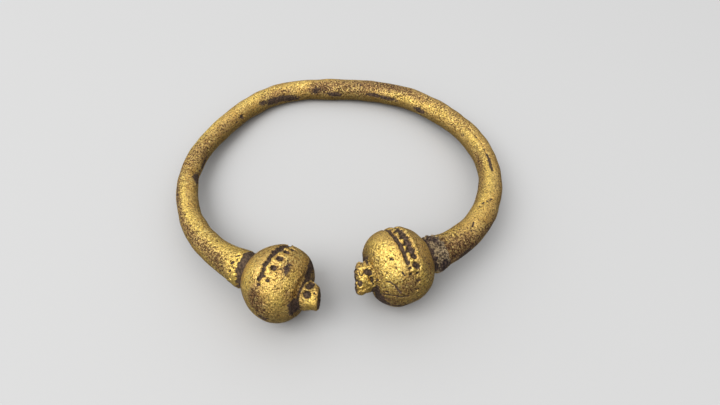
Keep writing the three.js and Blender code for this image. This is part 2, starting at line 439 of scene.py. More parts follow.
RIGHT_LONE_PITS = [(9.9, 51, 0.36), (9.8, 62, 0.34), (9.5, 76, 0.36), (8.6, 49, 0.3), (8.7, 41, 0.34)]
RIGHT_MIDDLE_PITS = [(9.0, -34, 0.55), (9.15, -23, 0.42), (9.2, -6, 0.3), (9.25, 6, 0.36), (9.3, 17, 0.34)]
# End, distance from the tip, pitch, first and last angle, width, seed, depth and slant
HIDDEN_ROWS = [
    (LEFT, 8.05, 14.5, -160, -44, 0.62, 1, 0.5, 0),
    (LEFT, 9.65, 13.5, -160, -46, 0.62, 2, 0.5, 3),
    (LEFT, 8.05, 14.5, 50, 150, 0.45, 3, 0.1, 0),
    (LEFT, 9.75, 14, 56, 150, 0.45, 4, 0.1, 0),
    (RIGHT, 10.0, 12, -160, -34, 0.6, 6, 0.5, 0),
    (RIGHT, 9.9, 14, 88, 150, 0.4, 7, 0.14, 0),
]
# End, distance from the tip, lean, first and last angle, width and depth
CHANNELS = [
    (RIGHT, 8.38, 0.008, -150, 40, 0.5, 0.5),
    (RIGHT, 10.05, 0.0, -150, 34, 0.36, 0.34),
    (LEFT, 9.62, 0.004, -150, 32, 0.2, 0.26),
]
# End, height, and the distance from the tip, angle and width of each grain
GRAINS = [
    (RIGHT, 0.14, [(9.2, -27, 0.4), (9.25, -17, 0.5), (9.15, -10, 0.34), (9.3, 0, 0.5), (9.15, 12, 0.46)]),
    (RIGHT, 0.14, [(9.25, 22, 0.42), (9.5, 32, 0.5), (9.1, 33, 0.34), (9.3, 44, 0.5)]),
    (RIGHT, 0.1, [(11.0, -20, 0.42), (10.95, -9, 0.4), (11.0, 1, 0.42), (11.0, 12, 0.42), (10.95, 23, 0.42)]),
    (LEFT, 0.12, [(8.9, 26, 0.4), (8.95, 14, 0.5), (8.9, 2, 0.5), (8.85, -12, 0.5), (8.75, -27, 0.45)]),
    (LEFT, 0.08, [(8.6, 20, 0.4), (8.9, 37, 0.4), (7.4, 3, 0.36), (7.4, 20, 0.36), (9.1, -20, 0.3)]),
]


def rest_of_row(row_at, pitch, first, last, wide, seed):
    """The part of a row that the viewer doesn't see, from angle first to angle last."""
    rng = np.random.default_rng(seed)
    pits = []
    for at_angle in np.arange(first, last, pitch):
        pit_at = row_at + rng.normal(0, ROW_SCATTER)
        pit_angle = at_angle + rng.normal(0, ANGLE_SCATTER)
        pits.append((pit_at, pit_angle, wide * rng.uniform(*WIDTH_SCATTER)))
    return pits


def worn(at_angle):
    """How much of a belt is left: all of it down the sides, none underneath."""
    turned = abs((at_angle + 180) % 360 - 180)
    return 1 - float(smooth_step(RUBBED_FROM, RUBBED_AWAY, turned))


def punch(end, marks, deep, slant=0):
    """Oval pits (distance from the tip, angle, width), each a short stretch across its row that leans by
    slant degrees."""
    for tip_distance, at_angle, wide in marks:
        before = (tip_distance - PIT_HALF_LENGTH, at_angle - slant)
        after = (tip_distance + PIT_HALF_LENGTH, at_angle + slant)
        press(deep * worn(at_angle) * steep(near_marks(end, [before, after]), wide))


punch(LEFT, LEFT_TIP_ROW, 0.6)
punch(LEFT, LEFT_NECK_ROW, 0.6, slant=4)
punch(LEFT, LEFT_LONE_PITS, 0.36)
punch(RIGHT, RIGHT_NECK_ROW, 0.62, slant=1.5)
punch(RIGHT, RIGHT_LONE_PITS, 0.34)
punch(RIGHT, RIGHT_MIDDLE_PITS, 0.5)
for end, row_at, pitch, first, last, wide, seed, deep, slant in HIDDEN_ROWS:
    punch(end, rest_of_row(row_at, pitch, first, last, wide, seed), deep, slant)


def channel(end, row_at, lean, first, last, wide, deep):
    """A groove along a row from one angle to another, fading at both ends. Its distance from the tip is
    row_at, growing by lean with each degree, and a little unsteady."""
    side = on_left if end is LEFT else ~on_left
    fade_out = smooth_step(last - CHANNEL_FADE, last, angle)
    fade = smooth_step(first, first + CHANNEL_FADE, angle) * (1 - fade_out)
    waver = sum(high * np.sin(np.radians(angle * times)) for high, times in CHANNEL_WAVER)
    amount = steep(np.abs(from_tip - row_at - lean * angle - waver), wide) * deep * fade
    press(np.where(side, amount, 0))


for row in CHANNELS:
    channel(*row)

for end, high, marks in GRAINS:
    for tip_distance, at_angle, wide in marks:
        swell = steep(near_path(spot(end, tip_distance, at_angle)), wide)
        np.maximum(rise, high * swell, out=rise)
        np.maximum(rubbed_and_highlight, swell, out=rubbed_and_highlight)

# Where the belts turn away from the viewer, waves stand in for the single grains
beside = hump(from_tip - np.where(on_left, LEFT["belt"], RIGHT["belt"]), NUGGET_REACH)
turned_away = smooth_step(*NUGGETS_FROM, angle) * (1 - smooth_step(*NUGGETS_TO, np.abs(angle)))
nugget = beside * np.clip(0.5 + 0.5 * waves(NUGGET_SIZE, seed=11), 0, 1.4) * turned_away
rise += NUGGET_RISE * nugget
rubbed_and_highlight = np.maximum(rubbed_and_highlight, NUGGET_SHINE * nugget)
near_top = 1 - smooth_step(*SHOULDER_ROUND, np.abs(angle))
rise += SHOULDER_RISE * hump(from_tip - SHOULDER_AT, SHOULDER_REACH) * ~on_left * near_top
print("belt cut to", round(float(cut.max()), 2), "mm")

# %% [markdown]
# The rest of the handwork and the damage: two deep pits on the viewer's side of the right knob and one on the
# left, like small eyes, a hollow on top of the left knob and a corner worn off below, slits and hair creases
# in the right ball, a ring of small dents round the left neck, and creases and a crack with a low ridge
# beside it in the hoop.

# %% Knob pits, slits and creases
CREASE_DEEP = 0.1
RIDGE = [(144, -30), (149, -24), (154, -22)]
RIDGE_WIDE = 1.1
RIDGE_RISE = 0.12
# The places of each mark (distance from the tip, angle), its width and its depth
WORN_CORNER = ([(0.2, 84), (0.4, 114)], 1.6, 0.6)
LEFT_MARKS = [
    ([(2.0, 31.5)], 0.98, 0.65), ([(0.9, 14)], 0.4, 0.32), ([(2.5, 82), (2.7, 95)], 0.35, 0.2),
    ([(2.4, -2), (2.2, -20), (2.3, -38)], 0.75, 0.55), ([(1.4, -75), (1.5, -95)], 0.6, 0.4),
    ([(7.9, -38), (7.4, -33), (7.3, -28)], 0.22, 0.2), ([(17.3, 26), (17.5, 29)], 0.42, 0.34),
    ([(17.4, 2), (17.1, -3)], 0.34, 0.3), ([(17.2, 52)], 0.36, 0.32), ([(16.9, 12)], 0.3, 0.28),
    ([(17.8, 41)], 0.28, 0.26), ([(16.7, 40)], 0.3, 0.28), ([(16.9, 76)], 0.34, 0.3),
]
RIGHT_MARKS = [
    ([(2.0, 23), (2.4, 29)], 0.72, 0.6), ([(2.5, 48), (2.5, 56)], 0.6, 0.55),
    ([(0.7, 62), (1.2, 40), (1.5, 33)], 0.22, 0.25), ([(0.8, 95), (1.6, 85), (2.2, 80)], 0.22, 0.25),
    ([(0.6, 20), (1.2, 14)], 0.25, 0.2), ([(2.3, -45), (2.2, -70)], 0.6, 0.4),
    ([(5.9, 21), (6.3, 23)], 0.26, 0.3), ([(5.8, 19), (6.2, 20)], 0.2, 0.25),
    ([(6.3, 9), (6.5, 10)], 0.22, 0.22), ([(4.5, 2), (4.8, 1)], 0.22, 0.2),
    ([(5.0, 6), (5.2, 5)], 0.16, 0.15), ([(6.2, 34), (6.3, 36)], 0.24, 0.25),
    ([(4.6, 39), (4.7, 40)], 0.2, 0.2), ([(6.6, -33)], 0.28, 0.25), ([(6.3, 73)], 0.3, 0.25),
    ([(7.2, 76)], 0.24, 0.2),
]
# The places of each crease on the right ball, and its width
CREASES = [
    ([(3.2, 56), (4.35, 53.5), (4.85, 54.5), (5.45, 60.5), (5.95, 69.5)], 0.24),
    ([(3.2, 92), (3.7, 84), (4.5, 80), (5.4, 80), (6.1, 82), (6.95, 83.5), (7.9, 83)], 0.24),
    ([(3.2, 81), (3.85, 75), (4.3, 74)], 0.2),
    ([(3.3, 106), (3.9, 95.5), (4.3, 94)], 0.26),
    ([(6.05, 71), (6.25, 74)], 0.3),
    ([(7.1, 42.5), (7.45, 49)], 0.2),
    ([(3.3, 70), (3.9, 66)], 0.18),
]
HOOP_MARKS = [
    ([(18.6, 12), (18.3, 9)], 0.24, 0.24), ([(50.2, 0)], 0.45, 0.22),
    ([(71.4, -65), (72.2, -63)], 0.4, 0.2), ([(69.2, -75)], 0.35, 0.2),
    ([(79.1, -63), (78.4, -60)], 0.4, 0.16), ([(106.0, -79)], 0.3, 0.14),
    ([(117.6, -86), (120.0, -60), (122.0, -29), (125.5, -18), (129.3, -10)], 0.2, 0.19),
    ([(124.0, -40), (127.0, -30), (130.5, -26)], 0.18, 0.18), ([(132.9, -47)], 0.42, 0.2),
    ([(138.5, -31)], 0.4, 0.16), ([(143.4, -62)], 0.45, 0.22),
    ([(142.7, -12), (145.6, -13), (150.0, -5), (152.8, -9)], 0.26, 0.2),
    ([(152.8, -9), (154.4, -2), (156.5, -4), (158.5, 2)], 0.26, 0.32), ([(152.9, -60)], 0.35, 0.14),
    ([(155.7, -55)], 0.35, 0.14), ([(167.5, 12), (167.8, 8)], 0.26, 0.26),
    ([(168.2, 1), (168.5, -4)], 0.24, 0.26), ([(169.0, -14), (169.4, -17)], 0.36, 0.3),
    ([(170.5, -22)], 0.3, 0.26), ([(171.2, -1)], 0.3, 0.24), ([(175.6, 3), (176.4, 12)], 0.26, 0.28),
    ([(177.3, 20), (177.5, 25)], 0.26, 0.26), ([(182.8, 72)], 0.4, 0.25), ([(184.0, 71)], 0.35, 0.22),
]


def score(end, marks, wide, deep, shape=steep, colour=1.0):
    """A slit or crease through a list of (distance, angle) places."""
    press(deep * shape(near_marks(end, marks), wide), colour)


for end, table in ((LEFT, LEFT_MARKS), (RIGHT, RIGHT_MARKS), (None, HOOP_MARKS)):
    for marks, wide, deep in table:
        score(end, marks, wide, deep)
score(LEFT, *WORN_CORNER, shape=bowl, colour=0)

# A hair crease is so shallow that press hardly darkens it, so it is made dark over all its width
for marks, wide in CREASES:
    line = steep(near_marks(RIGHT, marks), wide)
    press(CREASE_DEEP * line)
    np.maximum(dark, line, out=dark)

rise += RIDGE_RISE * steep(near_marks(None, RIDGE), RIDGE_WIDE)
print("marks on the hoop:", len(HOOP_MARKS))

# %% [markdown]
# Nothing made by hand is even. Slow waves keep the hoop and the balls from looking turned, quicker ones
# roughen the knobs, and thin dark seams run over them where a wave passes zero. The corroded collar of the
# right neck is a heap of small lumps. The left neck ends in an uneven rim, and its groove is filled in on the
# outside. A few hundred small corrosion pits are scattered with a fixed seed.

# %% Unevenness and corrosion
HOOP_WAVES_FROM = (17, 24)
LEFT_KNOB_ROUGHNESS = 0.45
SEAM_WIDTH = (0.12, 0.5)
SEAM_DEEP = 0.2
SEAM_DARK = 0.85
CRUST_START = (14.9, 15.3)
CRUST_END = (17.4, 18.1)
CRUST_FACES = 10
CRUST_THINS = (60, 110)
CRUST_LOST = 0.6
# Distance from the right tip, angle and width of the two largest lumps
LUMPS = [(15.9, -20, 1.1), (16.9, -2, 0.9)]
LUMP_RISE = 0.3
RIM_AT = 16.4
RIM_LEAN = 0.8
RIM_ROUND = (0, 80)
RIM_WIDE = 0.35
RIM_RISE = 0.08
FILL_START = (15.5, 16.0)
FILL_END = (16.5, 17.2)
FILL_ROUND = (10, 60)
FILL_RISE = 0.28
PIT_COUNT = 420
PIT_WIDTHS = (0.22, 0.42)
PIT_DEPTHS = (0.04, 0.14)
PIT_DARK = 0.75


def unevenness(*rows):
    """The sum of waves, each with its height, size and seed."""
    return sum(high * waves(size, seed) for high, size, seed in rows)


knob_share = 1 - smooth_step(KNOB_FOOT - 0.6, KNOB_FOOT + 0.3, from_tip)
hoop_share = smooth_step(*HOOP_WAVES_FROM, from_tip)
rough_knobs = knob_share * np.where(on_left, LEFT_KNOB_ROUGHNESS, 1.0)
rise += unevenness((0.05, 6.0, 21), (0.03, 2.2, 22))
rise += hoop_share * unevenness((0.03, 3.5, 23))
rise += rough_knobs * unevenness((0.09, 1.1, 24), (0.06, 0.5, 25))
seams = rough_knobs * (1 - smooth_step(*SEAM_WIDTH, np.abs(waves(0.9, seed=26))))
cut = np.maximum(cut, SEAM_DEEP * seams)
dark = np.maximum(dark, SEAM_DARK * seams)

crust_over = smooth_step(*CRUST_END, from_tip + 0.2 * waves(0.8, seed=34))
crust_along = smooth_step(*CRUST_START, from_tip) * (1 - crust_over)
crust_round = 1 - CRUST_LOST * smooth_step(*CRUST_THINS, np.abs(angle - CRUST_FACES))
crust = crust_along * crust_round * ~on_left
rise += crust * unevenness((0.1, 0.55, 31), (0.08, 0.3, 32))
lumps = sum(steep(near_path(spot(RIGHT, at, at_angle)), wide) for at, at_angle, wide in LUMPS)
rise += LUMP_RISE * np.clip(lumps, 0, 1)

rim_at = RIM_AT - RIM_LEAN * smooth_step(*RIM_ROUND, angle)
rim = hump(from_tip - rim_at - 0.1, RIM_WIDE) * on_left
rise += rim * (RIM_RISE + RIM_RISE * waves(0.7, seed=33))
filled = smooth_step(*FILL_START, from_tip) * (1 - smooth_step(*FILL_END, from_tip))
rise += FILL_RISE * filled * smooth_step(*FILL_ROUND, angle) * on_left


def scatter_pits(seed):
    """Seeded places on the skin: vertices picked by chance, each with a width and a depth."""
    rng = np.random.default_rng(seed)
    chosen = rng.choice(len(points), PIT_COUNT, replace=False)
    widths = rng.uniform(*PIT_WIDTHS, PIT_COUNT)
    depths = rng.uniform(*PIT_DEPTHS, PIT_COUNT)
    total = np.zeros(len(points))
    for centre, wide, deep in zip(points[chosen], widths, depths):
        np.maximum(total, deep * bowl(near_path(centre), wide), out=total)
    return total


small_pits = scatter_pits(41)
cut = np.maximum(cut, small_pits)
dark = np.maximum(dark, PIT_DARK * smooth_step(0.03, 0.1, small_pits))
print("relief from", round(float(-cut.max()), 2), "to", round(float(rise.max()), 2), "mm")

# %% [markdown]
# Where the metal is dark, brown or bright. Patina gathers in the grooves of the necks and round the knobs,
# which simple bands give. The other patches are placed one by one: place along the rod, angle, half length
# and half width in millimetres, and strength; those of the right end are measured from the right tip. The
# dark patches are patina, except long thin strips along the sides of the rod, which are painted shade at
# its rims; the brown ones are worn gilding; the bright ones are painted highlights. Brown laid over the
# underside of the rod is painted shade as well.

# %% Patina, wear, painted shade and painted highlights
LEAST_RADIUS = 2.0
LEFT_BAND = (14.3, 14.8)
RIGHT_BAND = (14.1, 14.6)
RIGHT_BAND_END = (14.9, 15.6)
RIM_SOFTNESS = 0.25
FOOT_DARK = 0.72
FOOT_BROWN = 0.45
FACE_DARK = 0.75
FACE_END = (0.2, 0.45)
# Painted shade: brown laid over the underside of the rod
UNDERSIDE_SHADE = 0.45
UNDER_ROUND = (110, 150)
# Patina spots, and long thin strips at angles near 85 either way that are painted shade along the rod's rims
PATINA_AND_RIM_SHADE = [
    (6.2, -2, 1.0, 1.4, 0.56), (5.8, 10, 0.5, 1.0, 0.5), (4.0, -58, 0.4, 2.2, 0.95),
    (3.3, -34, 0.45, 1.3, 1.0), (4.7, -66, 0.4, 1.6, 0.9), (3.7, 66, 0.5, 1.0, 0.8),
    (3.4, 92, 0.6, 1.7, 1.1), (8.0, 98, 1.6, 1.4, 0.75), (3.3, -118, 0.6, 2.4, 0.9),
    (46.3, -66, 2.2, 1.1, 1.0), (52.5, -86, 4.5, 0.7, 0.8), (50.2, 0, 0.7, 0.7, 0.5),
    (41.5, 50, 7.0, 0.8, 0.55), (82.3, -82, 2.4, 1.2, 0.8), (86.2, -84, 3.4, 1.1, 0.8),
    (89.5, -105, 3.0, 1.0, 0.8), (79.1, -63, 1.2, 0.8, 0.7), (71.4, -65, 1.0, 0.8, 0.85),
    (69.2, -75, 0.8, 0.6, 0.6), (96.3, -54, 1.6, 0.9, 0.56), (99.0, -70, 2.0, 0.8, 0.42),
    (108.5, -22, 3.0, 1.0, 0.5), (101.8, -88, 2.4, 0.9, 0.9), (95.4, -81, 1.4, 0.8, 0.5),
    (112.3, -74, 3.0, 0.7, 0.8), (117.6, -82, 3.4, 0.8, 0.8), (127.1, -90, 3.2, 1.0, 0.9),
    (143.4, -62, 1.0, 0.7, 0.6), (156.0, -3, 3.6, 0.5, 0.8), (162.0, -85, 8.0, 0.7, 0.6),
    (172.2, 86, 5.0, 1.0, 0.6), (180.5, 96, 3.5, 1.4, 0.7), (150.0, 80, 9.0, 1.0, 0.4),
    (60.0, 85, 9.0, 1.0, 0.3),
]
DARK_ON_RIGHT = [
    (2.7, -24, 0.4, 1.1, 0.95), (3.2, 102, 0.5, 1.3, 1.1), (3.6, 122, 0.9, 2.0, 1.1),
    (3.2, -110, 0.7, 2.8, 0.9), (6.5, 112, 3.0, 0.9, 0.8), (9.5, 100, 1.5, 0.8, 0.6),
    (15.9, -24, 1.5, 1.6, 0.62), (16.6, 4, 0.8, 1.3, 0.5), (16.6, 84, 1.2, 2.2, 0.9),
]
BROWN_PATCHES = [
    (10.0, 58, 1.2, 2.4, 0.8), (8.6, 78, 1.6, 2.6, 0.9), (6.1, 4, 1.0, 2.0, 0.6),
    (4.3, 45, 0.7, 1.8, 0.45), (4.4, 20, 0.5, 1.6, 0.2), (10.8, -25, 1.2, 2.0, 0.35),
    (19.0, 70, 2.5, 2.0, 0.5),
    (21.5, 50, 2.6, 1.8, 0.5), (25.0, 26, 4.5, 1.6, 0.4), (29.4, 44, 6.0, 1.2, 0.6),
    (40.0, 46, 8.0, 1.1, 0.7), (50.0, 14, 6.0, 2.0, 0.4), (57.0, -4, 6.0, 1.8, 0.4),
    (54.8, -60, 6.0, 1.2, 0.5), (66.0, -50, 5.0, 1.6, 0.5), (84.7, -50, 6.0, 2.0, 0.6),
    (97.1, -55, 3.2, 1.6, 0.85), (103.0, -25, 8.0, 1.8, 0.6), (115.0, 0, 7.0, 2.2, 0.9),
    (108.0, -70, 6.0, 1.6, 0.5), (126.0, -20, 7.0, 2.2, 0.5), (138.0, -20, 6.0, 2.5, 0.45),
    (153.0, -58, 5.0, 1.6, 0.6), (163.0, -60, 8.0, 1.5, 0.5), (174.0, 72, 7.0, 1.5, 0.6),
    (160.0, 50, 10.0, 1.5, 0.4),
]
BROWN_ON_RIGHT = [
    (7.6, 70, 2.6, 2.4, 0.5), (9.2, 58, 1.6, 1.8, 0.3), (5.0, 98, 1.8, 2.0, 0.6),
    (4.6, -22, 1.2, 1.5, 0.15), (11.6, 14, 1.2, 2.4, 0.45), (12.3, 52, 1.4, 2.4, 0.5),
    (17.6, 30, 2.0, 5.0, 0.62), (21.5, 25, 3.8, 4.0, 0.5), (20.0, 75, 5.0, 3.0, 0.55),
]
# Painted highlights: bright patches along the top of the hoop and on the balls, knobs and flares, where light
# catches the metal
PAINTED_HIGHLIGHTS = [
    (8.8, 22, 2.2, 3.2, 0.3), (4.7, 15, 0.8, 2.4, 0.6), (12.2, 38, 1.4, 3.4, 0.9),
    (6.4, 50, 1.8, 3.2, 0.45), (5.0, 62, 1.2, 2.4, 0.4), (1.6, 45, 1.2, 2.4, 0.9),
    (17.2, 66, 1.4, 1.8, 1.0), (18.2, 30, 2.4, 3.6, 1.1),
    (21.5, 25, 4.5, 3.6, 1.1), (31.0, 12, 8.0, 1.6, 1.1), (43.0, 18, 6.0, 0.9, 1.0),
    (62.0, 32, 9.0, 1.1, 0.9), (60.0, 8, 6.0, 1.2, 0.35), (78.0, -8, 7.0, 1.3, 0.8),
    (92.0, -15, 6.0, 1.4, 0.6), (105.0, -40, 5.0, 1.2, 0.5), (121.0, -52, 5.0, 1.2, 0.8),
    (130.0, -45, 5.0, 1.4, 0.6), (148.0, -35, 7.0, 1.2, 0.9), (160.0, -20, 6.0, 1.6, 0.7),
    (170.0, -25, 6.0, 2.0, 0.6), (181.5, -15, 3.5, 2.2, 0.8), (136.0, -35, 4.0, 1.4, 0.6),
]
# Painted highlights on the right end, measured from the right tip
PAINTED_HIGHLIGHTS_ON_RIGHT = [
    (5.2, 18, 2.4, 4.6, 1.05), (3.9, -8, 0.9, 4.2, 0.9), (10.9, 58, 1.8, 3.2, 0.9),
    (4.4, 45, 1.8, 2.6, 0.8), (1.4, 40, 1.4, 2.4, 1.0),
]


def patch(place_at, at_angle, half_length, half_width, strength):
    """exp(-(u^2 + w^2)), with u the distance along the rod and w the distance round it, in half sizes."""
    around = np.radians((angle - at_angle + 180) % 360 - 180) * np.maximum(radius, LEAST_RADIUS)
    return strength * np.exp(-(((place - place_at) / half_length) ** 2) - (around / half_width) ** 2)


def patches(rows, right_rows):
    """The sum of the patches measured from the left tip and of those measured from the right one."""
    right = sum(patch(ROD_LENGTH - tip_distance, *rest) for tip_distance, *rest in right_rows)
    return sum(patch(*row) for row in rows) + right


dark = np.maximum(dark, patches(PATINA_AND_RIM_SHADE, DARK_ON_RIGHT))
brown_wear_and_shade = patches(BROWN_PATCHES, BROWN_ON_RIGHT)
# The bright field holds the rubbed raised grains and, from the patch tables, painted highlights
rubbed_and_highlight = np.maximum(rubbed_and_highlight, patches(PAINTED_HIGHLIGHTS, PAINTED_HIGHLIGHTS_ON_RIGHT))

ragged = from_tip + 0.14 * waves(0.6, seed=51)
rim_edge = smooth_step(rim_at - RIM_SOFTNESS, rim_at + RIM_SOFTNESS, ragged)
left_band = smooth_step(*LEFT_BAND, from_tip) * (1 - rim_edge)
right_band = smooth_step(*RIGHT_BAND, from_tip) * (1 - smooth_step(*RIGHT_BAND_END, ragged))
dark = np.maximum(dark, np.where(on_left, left_band, right_band))
foot = hump(from_tip - KNOB_FOOT - 0.05, 0.25) * (radius > 2.0) * (radius < 3.9)
foot *= 1 - 0.5 * ~on_left * smooth_step(-40, -15, angle) * (1 - smooth_step(70, 95, angle))
dark = np.maximum(dark, FOOT_DARK * foot)
brown_wear_and_shade = np.maximum(brown_wear_and_shade, FOOT_BROWN * hump(from_tip - KNOB_FOOT - 0.3, 0.8))
dark = np.maximum(dark, FACE_DARK * (1 - smooth_step(*FACE_END, from_tip)))
# Painted shade: the underside of the rod is browned
brown_wear_and_shade = np.maximum(brown_wear_and_shade, UNDERSIDE_SHADE * smooth_step(*UNDER_ROUND, np.abs(angle)))
for name, values in (("dark", dark), ("brown_wear_and_shade", brown_wear_and_shade), ("rubbed_and_highlight", rubbed_and_highlight)):
    print(name, "mean over the vertices:", round(float(np.clip(values, 0, 1).mean()), 3))

# %% [markdown]
# The bracelet lies on both balls and on the back of its hoop. The upward direction of the surface under it is
# found from those three round places, the skin is turned by it, and what would reach below is cut
# flat: those are the three rubbed spots that it rests on.

# %% Lay it down


def lay_down():
    """The turn and the lift. For the upward direction n of the surface below, the step from one middle to
    another, measured along n, is the difference of their radii: two equations for n's x and y."""
    back_at = NECK + BACK_REST * HOOP
    middles = []
    for at, out in (
        (LEFT["ball"], LEFT["girth"]),
        (ROD_LENGTH - RIGHT["ball"], RIGHT["girth"]),
        (back_at, float(np.interp((back_at - NECK) / HOOP, ROD_PLACES, ROD_RADII))),
    ):
        x, y, _ = skin_point(at, 0.0, 0.0)
        middles.append((x, y, out))
    a, b, c = np.array(middles)
    steps = np.array([b - a, c - a])
    nx, ny = np.linalg.solve(steps[:, :2], steps[:, 2])
    up = Vector((nx, ny, np.sqrt(1 - nx * nx - ny * ny)))
    lift = a[2] - REST_FLAT - (nx * a[0] + ny * a[1])
    return up.rotation_difference(Vector((0, 0, 1))), lift


turn, lift = lay_down()
turn_matrix = np.array(turn.to_matrix())
print("turned by", round(float(np.degrees(turn.angle)), 2), "degrees, lifted by", round(float(lift), 2), "mm")


def laid(points_in_plane):
    """Points of the flat-lying middle line's frame, turned and lifted onto the surface below."""
    turned = points_in_plane @ turn_matrix.T
    turned[..., 2] = np.maximum(turned[..., 2] + lift, 0)
    return turned


# %% [markdown]
# The mesh. Each grid's rows are joined by four-sided faces; between the fine ends and the coarser hoop every
# hoop vertex takes three of the end's; and each tip closes in a fan. The four fields go into float attributes
# with the mesh.

# %% Build the mesh
TIP_SHARE = 0.7
CRUST_SPREAD = 1.1


def grid_faces(first, rows, columns):
    """Four corners of every cell of a grid that is closed round the columns."""
    r, c = np.meshgrid(np.arange(rows - 1), np.arange(columns), indexing="ij")
    here = first + r * columns + c
    there = first + r * columns + (c + 1) % columns
    return np.stack([here, here + columns, there + columns, there], -1).reshape(-1, 4)


def stitch(fine, fine_columns, coarse, coarse_columns):
    """Faces between a fine ring and a coarse one with a third of its columns."""
    j = np.arange(coarse_columns)
    k = 3 * j
    before, at, after, beyond = (fine + (k + step) % fine_columns for step in (-1, 0, 1, 2))
    near, far = coarse + j, coarse + (j + 1) % coarse_columns
    fans = [np.stack([near, at, before], -1), np.stack([near, after, at], -1)]
    bridge = np.stack([after, near, far, beyond], -1)
    return np.concatenate(fans), bridge


def fan(tip, ring, columns):
    """Triangles from a tip to the ring of vertices round it."""
    j = np.arange(columns)
    return np.stack([np.full(columns, tip), ring + j, ring + (j + 1) % columns], -1)


moved = points + normals * (rise - cut)[:, None]
all_points = np.concatenate([moved, tips])
sizes = [grid["at"].shape for grid in grids]
starts = np.concatenate([[0], np.cumsum([rows * columns for rows, columns in sizes])])
quads = [grid_faces(starts[i], *sizes[i]) for i in range(3)]
left_edge = starts[1] - END_COLUMNS
fans_left, bridge_left = stitch(left_edge, END_COLUMNS, starts[1], HOOP_COLUMNS)
fans_right, bridge_right = stitch(starts[2], END_COLUMNS, starts[2] - HOOP_COLUMNS, HOOP_COLUMNS)
left_fan = fan(starts[3], 0, END_COLUMNS)
right_fan = fan(starts[3] + 1, starts[3] - END_COLUMNS, END_COLUMNS)
triangles = np.concatenate([fans_left, fans_right[:, ::-1], left_fan, right_fan[:, ::-1]])
four_sided = np.concatenate([*quads, bridge_left, bridge_right[:, ::-1]])
mesh = bpy.data.meshes.new("gilt_bracelet")
mesh.from_pydata((laid(all_points) * MM).tolist(), [], four_sided.tolist() + triangles.tolist())
mesh.polygons.foreach_set("use_smooth", np.ones(len(mesh.polygons), bool))


def store(name, values):
    """A float for every vertex, which the material reads by name. The two tips come last."""
    attribute = mesh.attributes.new(name, "FLOAT", "POINT")
    clipped = np.append(np.clip(values, 0, 1), [TIP_SHARE, TIP_SHARE])
    attribute.data.foreach_set("value", clipped.astype(np.float32))


store("dark", dark)
store("brown_wear_and_shade", brown_wear_and_shade)
store("rubbed_and_highlight", rubbed_and_highlight)
store("crust", crust * CRUST_SPREAD)
mesh.update()
bracelet = bpy.data.objects.new("gilt_bracelet", mesh)
bpy.context.scene.collection.objects.link(bracelet)
print("triangles:", 2 * len(four_sided) + len(triangles))

# %% [markdown]
# Finishes are mixed in one material. Every layer works the same way: an attribute says roughly where it lies,
# and fine noise decides its ragged edge. That is a node group, built once.

# %% Node helpers


def srgb(red, green, blue):
    """A screen colour, 0 to 255, as the linear light that shaders work with."""
    screen = np.array([red, green, blue]) / 255
    linear = np.where(screen <= 0.04045, screen / 12.92, ((screen + 0.055) / 1.055) ** 2.4)
    return (*linear.tolist(), 1.0)


def feed(tree, node, inputs):
    """Give each input of a node a fixed value, or link the output of another node to it."""
    for key, value in inputs.items():
        if isinstance(value, bpy.types.NodeSocket):
            tree.links.new(value, node.inputs[key])
        else:
            node.inputs[key].default_value = value


def add_node(tree, kind, inputs, **settings):
    """A new node in a tree, with its settings made and its inputs fed."""
    node = tree.nodes.new(kind)
    for name, value in settings.items():
        setattr(node, name, value)
    feed(tree, node, inputs)
    return node


def calculate(tree, operation, *values):
    """One operation on two or three values."""
    return add_node(tree, "ShaderNodeMath", dict(enumerate(values)), operation=operation).outputs[0]


def in_range(tree, value, low, high, to_low=0.0, to_high=1.0, **settings):
    """Low to high becomes to_low to to_high, held at both ends."""
    inputs = {"Value": value, "From Min": low, "From Max": high, "To Min": to_low, "To Max": to_high}
    return add_node(tree, "ShaderNodeMapRange", inputs, **settings).outputs["Result"]


def ragged_layer_group():
    """Mask = smooth step of (where + spread * (noise - 0.5)) between edge - softness and edge + softness."""
    group = bpy.data.node_groups.new("ragged layer", "ShaderNodeTree")
    for name in ("Where", "Vector", "Scale", "Spread", "Edge", "Softness"):
        kind = "NodeSocketVector" if name == "Vector" else "NodeSocketFloat"
        group.interface.new_socket(name, in_out="INPUT", socket_type=kind)
    group.interface.new_socket("Mask", in_out="OUTPUT", socket_type="NodeSocketFloat")
    given = group.nodes.new("NodeGroupInput").outputs
    inputs = dict(Vector=given["Vector"], Scale=given["Scale"], Detail=4, Roughness=0.65)
    texture = add_node(group, "ShaderNodeTexNoise", inputs)
    centred = calculate(group, "SUBTRACT", texture.outputs["Fac"], 0.5)
    value = calculate(group, "MULTIPLY_ADD", centred, given["Spread"], given["Where"])
    low = calculate(group, "SUBTRACT", given["Edge"], given["Softness"])
    high = calculate(group, "ADD", given["Edge"], given["Softness"])
    mask = in_range(group, value, low, high, interpolation_type="SMOOTHSTEP")
    feed(group, group.nodes.new("NodeGroupOutput"), {"Mask": mask})
    return group


RAGGED = ragged_layer_group()

# %% [markdown]
# The gilt bronze. From the bottom up: warm gold that drifts between a redder and a yellower tone, bright
# gold, rubbed on the high places and painted as highlights along the top of the hoop and on the ends, thin
# brown where the gilding has gone and as painted shade on the underside of the rod, dark and light grains,
# which are faint where the gilding is smooth, red-brown dust and speckle, grey crust on the right neck, and
# dark patina in the hollows, which also paints the shade along the rims of the rod. Patina is less metallic
# and rougher than gold.

# %% Gilt bronze
RED_GOLD = srgb(210, 169, 91)
YELLOW_GOLD = srgb(230, 193, 113)
# Bright gold, for the rubbed high places and for the painted highlights
RUBBED_GOLD_AND_HIGHLIGHT = srgb(253, 219, 114)
